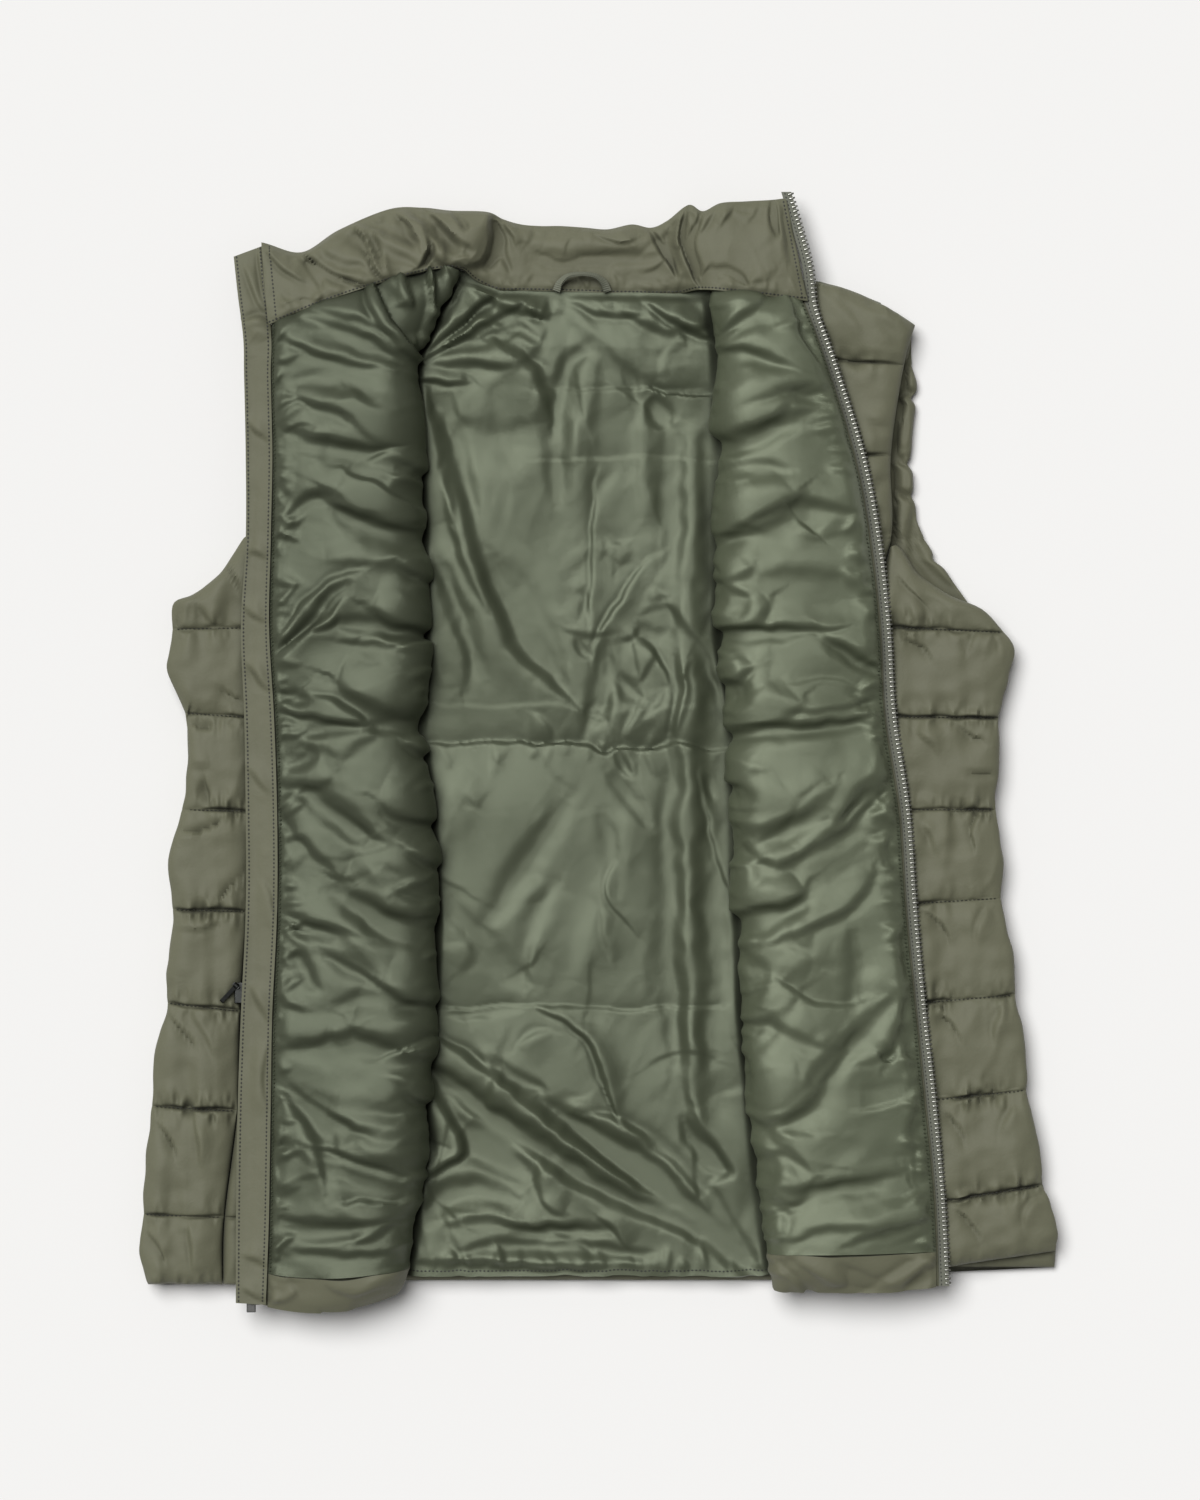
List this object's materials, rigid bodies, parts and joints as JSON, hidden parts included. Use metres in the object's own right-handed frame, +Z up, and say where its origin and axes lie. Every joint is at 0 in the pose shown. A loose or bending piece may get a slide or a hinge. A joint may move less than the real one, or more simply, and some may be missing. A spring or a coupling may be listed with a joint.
{
  "type": "puffer vest laid open",
  "caption": "Quilted puffer vest with a stand collar, laid on its back with both zip fronts folded open over a satin lining.",
  "frame": {"origin": "on the floor under the middle of the vest's bounding box", "axes": "+X towards the wearer's left side, +Y towards the collar, +Z up from the floor, out of the opened lining"},
  "size_m": [0.5686, 0.6943, 0.043],
  "materials": {
    "shell_cloth": "matte woven nylon, quilted",
    "lining_satin": "satin lining with a soft sheen",
    "zip_tape": "woven zip tape with metal teeth",
    "loop_tape": "twill tape",
    "zip_metal": "tumbled nickel",
    "pull_metal": "dark gunmetal"
  },
  "bodies": {
    "vest": {"back_shell": "shell_cloth", "back_lining": "lining_satin", "right_front_shell": "shell_cloth", "right_side_shell": "shell_cloth", "right_front_lining": "lining_satin", "right_hem_facing": "shell_cloth", "left_front_shell": "shell_cloth", "left_side_shell": "shell_cloth", "left_front_lining": "lining_satin", "left_hem_facing": "shell_cloth", "storm_flap": "shell_cloth", "left_zip": "zip_tape", "right_zip": "zip_tape", "zip_box": "zip_metal", "zip_slider": "zip_metal", "collar": "shell_cloth", "hanger_loop": "loop_tape", "pocket_slider": "zip_metal"},
    "tab": {"pocket_pull": "pull_metal"}
  },
  "joints": [
    {"name": "pocket_tab_hinge", "type": "hinge", "parent": "vest", "child": "tab", "pos_m": [-0.2242, -0.146, 0.024], "axis": [-0.7278, 0.6858, 0], "range_deg": [0, 135]}
  ]
}
